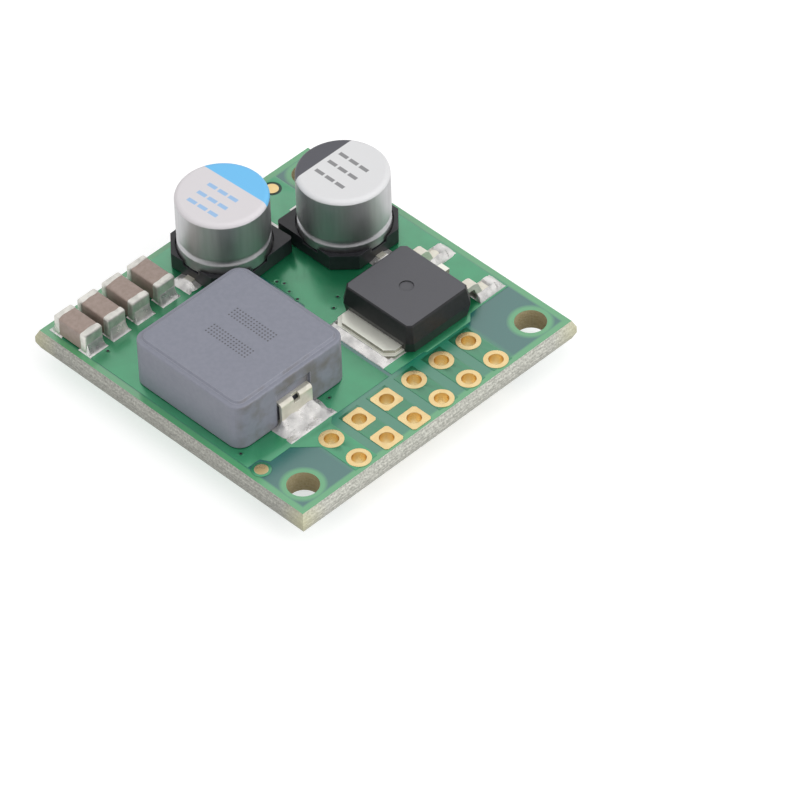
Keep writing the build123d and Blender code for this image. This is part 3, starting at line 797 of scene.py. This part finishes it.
# Solder
@dataclass(frozen=True)
class Fillet:
    """Solder on one land, drawn up against the metal in it and at times over its foot.

    X points away from the part.
    """

    inner: float
    face: float
    outer: float
    land_width: float
    metal_width: float
    wick: float
    side_wick: float = 0.0
    film: float = 0.05
    hollow: float = 2.1
    rim: float = 0.1
    rough: float = 0.03
    over: float = 0.0

    def height(self, x: float, y: float, seed: float) -> float:
        """The solder's level over a spot of its land.

        Args:
            x: The spot's distance out from the part.
            y: Its distance from the land's middle line.
            seed: The number that sets this land's ripples.

        Returns:
            The height over the board.
        """
        half = self.metal_width / 2
        side = ramp(abs(y), half, self.land_width / 2)
        if x >= self.face - 0.03:
            away = min(1.0, math.hypot(ramp(x, self.face, self.outer), side))
            rise = self.wick * (1 - away) ** self.hollow
        elif abs(y) >= half:
            rise = self.side_wick * (1 - side) ** self.hollow
        else:
            rise = self.over * ramp(x, self.face - 0.9, self.face - 0.45)
        near = min(self.outer - x, x - self.inner, self.land_width / 2 - abs(y))
        share = ramp(near, 0.0, self.rim)
        bulge = math.sqrt(max(0.0, 1 - (1 - share) ** 2))
        at = Vector((x * RIPPLE_SCALE, y * RIPPLE_SCALE, seed * SEED_STEP))
        ripple = self.rough * noise.noise(at)
        return max(LEAST_SOLDER, (self.film + rise + ripple * (0.4 + rise)) * bulge)

    def sketch(self, seed: float) -> MeshSketch:
        """The solder's mesh: its skin over a fine grid, and its flat foot."""
        sketch = MeshSketch()
        half, land, rim = self.metal_width / 2, self.land_width / 2, self.rim
        xs = spread((
            (self.inner, 0), (self.inner + rim, 3), (self.face - 0.05, 9), (self.face - 0.03, 1),
            (self.outer - rim, 10), (self.outer, 4),
        ))
        inside = max(half, 0.05)
        turned = max(land - rim, inside + 0.01)
        run = spread(((0.0, 0), (inside - 0.01, 5), (inside, 1), (turned, 4), (land, 4)))
        ys = [-value for value in reversed(run[1:])] + run
        skin = [sketch.row(Vector((x, y, self.height(x, y, seed))) for y in ys) for x in xs]
        foot = [sketch.row(Vector((x, y, -0.01)) for y in ys) for x in xs]
        rows = skin + foot[::-1]
        for first, second in zip(rows, rows[1:] + rows[:1]):
            sketch.bridge(first, second, closed=False)
        for column in (0, -1):
            top = [row[column] for row in skin]
            low = [row[column] for row in foot]
            sketch.bridge(top, low, closed=False)
        return sketch


# Chip parts
@dataclass
class ChipRow:
    """Chip parts of one size on one face: end caps with an uneven border, and their solder."""

    name: str
    side: Side
    places: Sequence[Place]
    cap_nodes: Sequence[str]
    solder_node: str
    length: float = 3.1
    width: float = 1.6
    height: float = 1.58
    band: float = 0.5
    rounding: float = 0.16
    film: float = 0.05
    uneven: float = 0.1
    proud: float = 0.012
    fillet: Fillet = Fillet(0.8, 1.55, 2.01, 1.68, 1.3, 0.78, 0.1)

    def ring(self, along: float, inset: float, uneven: float, seed: float) -> Loop:
        """One closed line round the cap.

        Args:
            along: Its distance along the chip.
            inset: How far it stands in from the chip's sides.
            uneven: How much it waves.
            seed: The number that sets its waves.

        Returns:
            The points of the line.
        """
        corner = max(self.rounding - inset, 0.02)
        spots = rounded_outline(self.width - 2 * inset, self.height - 2 * inset, corner, 6, 4)
        middle = self.film + self.height / 2
        loop = []
        for across, up in spots:
            wave = uneven * noise.noise(Vector((across * 1.6, up * 1.6, seed)))
            loop.append(Vector((along + wave, across, middle + up)))
        return loop

    def cap(self, seed: float) -> MeshSketch:
        """An end cap as one closed shell: a full end, rounded edges and a raised border."""
        sketch = MeshSketch()
        end, turn = self.length / 2, self.rounding
        border = end - self.band
        loops = [
            self.ring(border - 0.01, 0.045, self.uneven, seed),
            self.ring(border, 0.02, self.uneven, seed),
            self.ring(border + 0.03, 0.004, self.uneven, seed),
            self.ring(border + 0.12, -self.proud, self.uneven * 0.5, seed),
        ]
        for step in range(6):
            angle = math.radians(90 * step / 5)
            inset = turn * (1 - math.cos(angle))
            loops.append(self.ring(end - turn + turn * math.sin(angle), inset, 0.0, seed))
        loops.append(self.ring(end + 0.004, turn + 0.12, 0.0, seed))
        loops.append(self.ring(end + 0.006, turn + 0.4, 0.0, seed))
        sketch.loft(loops)
        return sketch

    def build(self, box: Paintbox) -> None:
        """Makes the caps and the solder at every place."""
        solder = MeshSketch()
        metal = box.take(Stock.CAP_METAL)
        groups = {node: MeshSketch() for node in self.cap_nodes}
        for index, (x, y, turn) in enumerate(self.places):
            caps = groups[self.cap_nodes[min(index, len(self.cap_nodes) - 1)]]
            for end in (0, 1):
                seat = self.side.seat(x, y, turn + 180 * end)
                caps.stamp(self.cap(index * 2.7 + end * 1.3), seat)
                solder.stamp(self.fillet.sketch(index * 1.9 + end * 0.7), seat)
        for node, caps in groups.items():
            caps.build(node + "_metal", metal, "tin", node)
        if self.solder_node:
            solder.build(self.name + "_fillets", box.take(Stock.SOLDER), "solder", self.solder_node)


# Inductor
@dataclass
class Inductor:
    """The moulded inductor: pressed case, bent terminals and their solder."""

    x: float = -6.43
    y: float = -0.5
    top: float = 3.95
    fillet: Fillet = Fillet(3.75, 5.35, 6.9, 4.2, 2.8, 0.62, 0.2, hollow=2.0, rim=0.14, rough=0.2)
    dot_bars: Span = (-1.2, 0.9)
    dot_rows: int = 4
    dot_columns: int = 15
    dot_pitch: float = 0.26

    def build(self, box: Paintbox) -> None:
        """Dresses the case and the terminals and makes the solder."""
        dress(box.take(Stock.POWDER), "inductor_case")
        dress(box.take(Stock.TIN), "inductor_front_terminal", "inductor_rear_terminal")
        solder = MeshSketch()
        for index, turn in enumerate((-90, 90)):
            solder.stamp(self.fillet.sketch(4.0 + index), Side.TOP.seat(self.x, self.y, turn))
        solder.build("inductor_fillets", box.take(Stock.SOLDER), "solder", "inductor_solder")
        self.build_marks(box)

    def build_marks(self, box: Paintbox) -> None:
        """Two plain dotted bars in place of the lid's print."""
        dot, dots = MeshSketch(), MeshSketch()
        dot.lathe(((0.07, -0.004), (0.07, 0.003), (0.06, 0.005), (0.01, 0.005)), 10)
        for bar in self.dot_bars:
            for row in range(self.dot_rows):
                for column in range(self.dot_columns):
                    along = (column - self.dot_columns // 2) * self.dot_pitch
                    across = bar + row * self.dot_pitch
                    spot = (self.x + across, self.y + along, BOARD_TOP + self.top)
                    dots.stamp(dot, Matrix.Translation(spot))
        dots.build("lid_dots", box.take(Stock.DARK_DOT), "powder")


# Can capacitors
@dataclass(frozen=True)
class CanSkin:
    """A can's skin: drawn aluminium, a satin coat over the top, one inked segment and bars of print."""

    coat: Colour
    ink: Colour
    chord: float
    bar_columns: Sequence[float]
    bar_rows: Sequence[float]
    bar_half: Span
    print_tone: Colour
    print_share: float = 0.7
    metal: Colour = (0.58, 0.58, 0.59)
    worn_metal: Colour = (0.53, 0.53, 0.54)
    shoulder: float = 0.34
    soft: float = 0.02
    roughness: Span = (0.46, 0.52)
    depth: float = 0.001
    edge: float = 0.05

    def make(self, effects: Effects, name: str, seat: Matrix, turn: float, top: float) -> Material:
        """Builds the material.

        Args:
            effects: The shared node groups.
            name: The can's name.
            seat: The can's place.
            turn: Its turn in degrees.
            top: Height of its top over the board.

        Returns:
            The finished material.
        """
        material, net, shader = surface(name + "_skin")
        turned = (0.0, 0.0, math.radians(turn))
        place = {"Vector": net.spots(), "Location": seat.translation, "Rotation": turned}
        across, along, up = net.split(net.add("Mapping", place, vector_type="TEXTURE").outputs[0])
        rim = top - self.shoulder
        coated = net.level(up, rim - 0.02, rim + 0.05)
        inked = net.level(across, self.chord - self.soft, self.chord + self.soft)
        grain = net.use(effects.grain, Scale=14.0, Stretch=(1.0, 1.0, 0.08))
        beside = net.within(across, self.bar_columns, self.bar_half[0])
        inside = net.math("MINIMUM", beside, net.within(along, self.bar_rows, self.bar_half[1]))
        printed = net.level(inside, -self.soft, self.soft)
        lid = net.blend(net.times(printed, self.print_share), self.coat, self.print_tone)
        lid = net.blend(inked, lid, self.ink)
        metal = net.blend(grain.outputs["Mask"], self.metal, self.worn_metal)
        edges = net.use(effects.edges, Radius=self.edge * MM)
        net.fill(shader, {
            "Base Color": net.blend(coated, metal, lid),
            "Metallic": net.math("SUBTRACT", 1.0, coated),
            "Roughness": net.gloss(effects, 0.6, self.roughness),
            "Normal": net.bump(grain.outputs["Height"], self.depth, Normal=edges.outputs["Normal"]),
        })
        return material


@dataclass
class CanCapacitor:
    """A can capacitor: sealed and printed can, moulded base, two leads and their solder."""

    name: str
    x: float
    y: float
    turn: float
    top: float
    skin: CanSkin
    fillet: Fillet = Fillet(1.45, 3.65, 4.45, 1.9, 0.65, 0.22, 0.16, hollow=1.6, rim=0.12, rough=0.1)

    def build(self, box: Paintbox) -> None:
        """Dresses the nodes and makes the solder."""
        seat = Side.TOP.seat(self.x, self.y)
        dress(self.skin.make(box.effects, self.name, seat, self.turn, self.top), self.name)
        dress(box.take(Stock.BASE), self.name + "_base")
        dress(box.take(Stock.TIN), self.name + "_positive_lead", self.name + "_negative_lead")
        solder = MeshSketch()
        for end in (0, 1):
            solder.stamp(self.fillet.sketch(self.x + end), Side.TOP.seat(self.x, self.y, self.turn + 180 * end))
        solder.build(self.name + "_fillets", box.take(Stock.SOLDER), "solder", self.name + "_solder")


# Power transistor
@dataclass
class PowerTransistor:
    """The power transistor: moulded body, tab, leads and their solder."""

    x: float = 5.64
    y: float = -3.9
    pitch: float = 2.286
    lead_fillet: Fillet = Fillet(
        3.81, 5.59, 6.26, 1.6, 0.76, 0.56, 0.5, hollow=0.8, rim=0.16, rough=0.2, over=0.56
    )
    tab_fillet: Fillet = Fillet(-2.4, 4.36, 5.04, 5.6, 5.0, 0.2, 0.1, hollow=1.6, rim=0.12, rough=0.08)

    def build(self, box: Paintbox) -> None:
        """Dresses the body and its metal and makes the solder."""
        dress(box.take(Stock.MOULD), "transistor_body")
        dress(box.take(Stock.TAB), "transistor_tab")
        dress(box.take(Stock.TIN), "transistor_front_lead", "transistor_rear_lead")
        solder = MeshSketch()
        solder.stamp(self.tab_fillet.sketch(1.0), Side.TOP.seat(self.x, self.y, 180))
        for side in (-1, 1):
            solder.stamp(self.lead_fillet.sketch(2.0 + side), Side.TOP.seat(self.x, self.y + side * self.pitch))
        solder.build("transistor_fillets", box.take(Stock.SOLDER), "solder", "transistor_solder")


# Underside
@dataclass
class UndersideChips:
    """The controller, the two power switches and the small parts of the underside."""

    moulded: Sequence[str] = ("controller_body", "left_switch_body", "right_switch_body")
    contacts: Sequence[str] = ("controller_contacts", "left_switch_contacts", "right_switch_contacts")

    def build(self, box: Paintbox) -> None:
        """Dresses every node of the underside."""
        dress(box.take(Stock.MOULD), *self.moulded)
        dress(box.take(Stock.TIN), *self.contacts)
        dress(box.take(Stock.SOLDER), "under_chip_solder")
        dress(box.take(Stock.RESISTOR), "resistor_bodies")
        dress(box.take(Stock.CERAMIC), "small_capacitor_bodies")


# Studio
@dataclass(frozen=True)
class Viewpoint:
    """The camera: its direction, its distance and the point it looks at."""

    azimuth: float = -43.715
    elevation: float = 44.126
    roll: float = -1.903
    distance: float = 423.73
    target: Place = (-0.694, -9.544, 3.23)
    lens: float = 291.61

    def build(self) -> None:
        """Makes the camera and gives it to the scene."""
        azimuth, elevation, roll = [math.radians(v) for v in (self.azimuth, self.elevation, self.roll)]
        level = math.cos(elevation)
        back = Vector((math.sin(azimuth) * level, -math.cos(azimuth) * level, math.sin(elevation)))
        right = Vector((math.cos(azimuth), math.sin(azimuth), 0))
        up = back.cross(right)
        across = right * math.cos(roll) + up * math.sin(roll)
        upward = up * math.cos(roll) - right * math.sin(roll)
        data = bpy.data.cameras.new("camera")
        data.lens = self.lens
        data.clip_start = 0.01
        data.clip_end = 20.0
        camera = link("camera", data)
        turn = Matrix((across, upward, back)).transposed().to_4x4()
        place = (Vector(self.target) + back * self.distance) * MM
        camera.matrix_world = Matrix.Translation(place) @ turn
        bpy.context.scene.camera = camera


@dataclass(frozen=True)
class Lamp:
    """A square soft lamp that looks at the part. Metal shows it only where it is mirrored."""

    name: str
    power: float
    place: Place
    side: float
    mirrored: bool = False

    def build(self) -> None:
        """Makes the lamp and turns it to the part."""
        data = bpy.data.lights.new(self.name, "AREA")
        data.energy = self.power
        data.size = self.side
        lamp = link(self.name, data)
        lamp.location = self.place
        lamp.visible_glossy = self.mirrored
        lamp.rotation_mode = "QUATERNION"
        lamp.rotation_quaternion = (-Vector(self.place)).to_track_quat("-Z", "Y")


@dataclass
class Studio:
    """A white tent: pale floor, white surround and soft lamps."""

    floor_side: float = 6.0
    floor_tone: Colour = (0.52, 0.52, 0.52)
    floor_roughness: float = 0.9
    floor_glow: float = 0.6
    surround: float = 0.62
    dim_side: Place = (-0.496, -0.519, 0.696)
    dim_band: Span = (0.4, 0.9)
    dim_level: float = 0.15
    lamps: Sequence[Lamp] = (
        Lamp("overhead", 0.45, (-0.07, -0.1, 0.45), 0.5, mirrored=True),
        Lamp("left_fill", 0.35, (-0.4, 0.05, 0.22), 0.3),
        Lamp("right_fill", 1.9, (0.15, -0.5, 0.3), 0.6),
    )

    def seen(self, net: Net) -> Socket:
        """1 where the eye, a reflection or a clear body sees the surface."""
        rays = net.add("LightPath").outputs
        both = net.math("MAXIMUM", rays["Is Camera Ray"], rays["Is Glossy Ray"])
        return net.math("MAXIMUM", both, rays["Is Transmission Ray"])

    def build(self) -> None:
        """Makes the floor, the surround and the lamps."""
        self.build_world()
        self.build_floor()
        for lamp in self.lamps:
            lamp.build()

    def build_world(self) -> None:
        """A surround white to the eye, dimmer as a light and dimmer in metal on the camera's side."""
        world = bpy.data.worlds.new("surround")
        world.use_nodes = True
        bpy.context.scene.world = world
        net = Net(world.node_tree)
        back = world.node_tree.nodes["Background"]
        sides = {0: net.add("TexCoord").outputs["Generated"], 1: self.dim_side}
        toward = net.add("VectorMath", sides, operation="DOT_PRODUCT").outputs["Value"]
        mirrored = net.level(toward, *self.dim_band, 1.0, self.dim_level)
        rays = net.add("LightPath").outputs
        plain = net.math("MAXIMUM", rays["Is Camera Ray"], rays["Is Transmission Ray"])
        metal = net.times(rays["Is Glossy Ray"], mirrored)
        light = net.times(net.math("SUBTRACT", 1.0, rays["Is Glossy Ray"]), self.surround)
        strength = net.math("MAXIMUM", plain, net.math("ADD", metal, light))
        net.fill(back, {"Color": WHITE, "Strength": strength})

    def build_floor(self) -> None:
        """A pale floor that keeps the part's shadow."""
        material, net, shader = surface("floor")
        net.fill(shader, {
            "Base Color": (*self.floor_tone, 1.0),
            "Roughness": self.floor_roughness,
            "Specular IOR Level": 0.0,
            "Emission Color": WHITE,
            "Emission Strength": net.times(self.seen(net), self.floor_glow),
        })
        half = self.floor_side / 2
        corners = [(-half, -half, 0), (half, -half, 0), (half, half, 0), (-half, half, 0)]
        mesh = bpy.data.meshes.new("floor")
        mesh.from_pydata(corners, [], [(0, 1, 2, 3)])
        mesh.materials.append(material)
        floor = link("floor", mesh)


# Assembly
LEFT_SKIN = CanSkin(
    (0.69, 0.66, 0.68), (0.16, 0.52, 0.87), 1.2,
    (-1.85, -0.9, 0.1), (-0.95, 0.0, 0.95), (0.16, 0.38), (0.17, 0.45, 0.8),
)
RIGHT_SKIN = CanSkin(
    (0.72, 0.72, 0.73), (0.085, 0.085, 0.1), 1.68,
    (-0.95, 0.0, 0.95), (-1.05, 0.0, 1.2), (0.38, 0.15), (0.05, 0.05, 0.055),
)
REAR_CERAMICS = [(x, 10.02, 90.0) for x in (-11.15, -9.05, -6.85, -4.55)]
UNDER_CERAMICS = [(x, y, 0.0) for x, y in ((-8.6, 7.2), (-8.6, -5.6), (8.6, 6.4), (8.6, -5.2))]
RESISTORS = [(-1.2, y, 0.0) for y in (-1.9, -3.3, -4.7, -6.1)]
SMALL_CAPACITORS = [(-3.9, y, 0.0) for y in (-1.9, -3.3, -4.7)]
SMALL_CHIP = {"length": 1.6, "width": 0.8, "height": 0.6, "band": 0.3, "rounding": 0.06, "uneven": 0.04}
SMALL_FILLET = Fillet(0.4, 0.8, 1.08, 0.86, 0.68, 0.3, 0.05, rim=0.06, rough=0.02)


def build_chips(box: Paintbox) -> None:
    """Makes the ceramic capacitors of both faces and the underside's small parts."""
    for name, side, places, proud in (
        ("rear_ceramic", Side.TOP, REAR_CERAMICS, 0.012),
        ("under_ceramic", Side.UNDER, UNDER_CERAMICS, 0.0),
    ):
        cores = [f"{name}_{number}" for number in range(1, len(places) + 1)]
        dress(box.take(Stock.CERAMIC), *cores)
        caps = [core + "_end_caps" for core in cores]
        ChipRow(name, side, places, caps, name + "_solder", proud=proud).build(box)
    for name, places in (("resistor", RESISTORS), ("small_capacitor", SMALL_CAPACITORS)):
        caps = [name + "_end_caps"]
        ChipRow(name, Side.UNDER, places, caps, "", fillet=SMALL_FILLET, **SMALL_CHIP).build(box)
    dress(box.take(Stock.SOLDER), "small_part_solder")


def main() -> None:
    """Builds the studio and the dressed part."""
    logging.basicConfig(level=logging.INFO, format="%(message)s")
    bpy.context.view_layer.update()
    bpy.context.scene.view_settings.view_transform = "Standard"
    box = Paintbox()
    Viewpoint().build()
    Studio().build()
    CircuitBoard().build(box)
    Inductor().build(box)
    CanCapacitor("left_can", 1.1, 8.8, 2.5, 5.6, LEFT_SKIN).build(box)
    CanCapacitor("right_can", 8.1, 4.45, 90.0, 5.8, RIGHT_SKIN).build(box)
    PowerTransistor().build(box)
    build_chips(box)
    UndersideChips().build(box)


if __name__ == "__main__":
    main()
